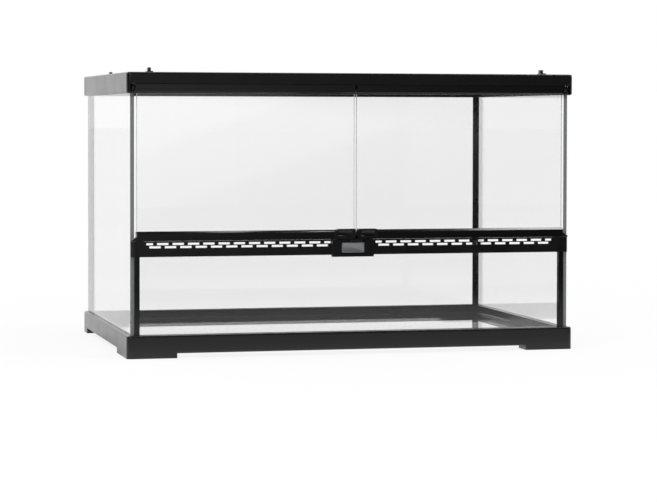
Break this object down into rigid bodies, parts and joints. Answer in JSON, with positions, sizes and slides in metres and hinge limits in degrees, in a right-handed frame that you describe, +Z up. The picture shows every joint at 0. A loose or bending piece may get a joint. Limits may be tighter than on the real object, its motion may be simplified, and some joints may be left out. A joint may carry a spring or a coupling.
{
  "type": "reptile terrarium",
  "caption": "Front-opening glass terrarium in black frames, with two hinged doors over a slotted vent strip, a slide lock and a lift-out screen lid.",
  "frame": {"origin": "middle of the footprint at table level, the frames' outer faces being at X = -300 and 300 mm and Y = -200 and 200 mm", "axes": "+Z up; the doors face -Y; +X to the right as seen from the front"},
  "size_m": [0.6, 0.4035, 0.3728],
  "materials": {
    "black_abs": "fine moulded texture",
    "float_glass": "clear, polished edges",
    "black_silicone": "smooth bead",
    "steel_mesh": "woven wire, black coating",
    "zinc_steel": "zinc plated",
    "nickel": "nickel plated",
    "satin_aluminium": "satin, bare"
  },
  "bodies": {
    "tank": {"base_frame": "black_abs", "floor_glass": "float_glass", "floor_seal": "black_silicone", "left_glass": "float_glass", "right_glass": "float_glass", "rear_glass": "float_glass", "lower_front_glass": "float_glass", "rear_left_seal": "black_silicone", "rear_right_seal": "black_silicone", "left_pane_channel": "black_abs", "right_pane_channel": "black_abs", "top_frame": "black_abs", "vent_strip": "black_abs", "left_hinge_block": "black_abs", "right_hinge_block": "black_abs", "strike_plates": "zinc_steel", "lock_housing": "black_abs", "lock_screws": "zinc_steel"},
    "left_door": {"left_door_glass": "float_glass", "left_top_rail": "black_abs", "left_bottom_rail": "black_abs", "left_pull": "black_abs", "left_upper_pin": "zinc_steel", "left_lower_pin": "zinc_steel", "left_door_magnet": "nickel"},
    "right_door": {"right_door_glass": "float_glass", "right_top_rail": "black_abs", "right_bottom_rail": "black_abs", "right_pull": "black_abs", "right_upper_pin": "zinc_steel", "right_lower_pin": "zinc_steel", "right_door_magnet": "nickel"},
    "lock": {"lock_slider": "black_abs", "lock_plate": "satin_aluminium", "lock_bolt": "zinc_steel"},
    "lid": {"lid_frame": "black_abs", "left_screen": "steel_mesh", "right_screen": "steel_mesh"},
    "front_left_turn": {"front_left_clip": "black_abs"},
    "front_right_turn": {"front_right_clip": "black_abs"},
    "rear_left_turn": {"rear_left_clip": "black_abs"},
    "rear_right_turn": {"rear_right_clip": "black_abs"},
    "left_shutter": {"left_cable_shutter": "black_abs"},
    "right_shutter": {"right_cable_shutter": "black_abs"}
  },
  "joints": [
    {"name": "left_door_hinge", "type": "hinge", "parent": "tank", "child": "left_door", "pos_m": [-0.291, -0.196, 0.2459], "axis": [0, 0, -1], "range_deg": [0, 105]},
    {"name": "right_door_hinge", "type": "hinge", "parent": "tank", "child": "right_door", "pos_m": [0.291, -0.196, 0.2459], "axis": [0, 0, 1], "range_deg": [0, 105]},
    {"name": "lock_slide", "type": "slide", "parent": "tank", "child": "lock", "axis": [0, 0, 1], "range_m": [0, 0.003]},
    {"name": "lid_lift", "type": "slide", "parent": "tank", "child": "lid", "axis": [0, 0, 1], "range_m": [0, 0.06]},
    {"name": "front_left_clip_turn", "type": "hinge", "parent": "tank", "child": "front_left_turn", "pos_m": [-0.266, -0.166, 0.3667], "axis": [0, 0, 1], "range_deg": [0, 90]},
    {"name": "front_right_clip_turn", "type": "hinge", "parent": "tank", "child": "front_right_turn", "pos_m": [0.266, -0.166, 0.3667], "axis": [0, 0, -1], "range_deg": [0, 90]},
    {"name": "rear_left_clip_turn", "type": "hinge", "parent": "tank", "child": "rear_left_turn", "pos_m": [-0.266, 0.166, 0.3667], "axis": [0, 0, -1], "range_deg": [0, 90]},
    {"name": "rear_right_clip_turn", "type": "hinge", "parent": "tank", "child": "rear_right_turn", "pos_m": [0.266, 0.166, 0.3667], "axis": [0, 0, 1], "range_deg": [0, 90]},
    {"name": "left_shutter_slide", "type": "slide", "parent": "tank", "child": "left_shutter", "axis": [1, 0, 0], "range_m": [0, 0.044]},
    {"name": "right_shutter_slide", "type": "slide", "parent": "tank", "child": "right_shutter", "axis": [-1, 0, 0], "range_m": [0, 0.044]}
  ]
}
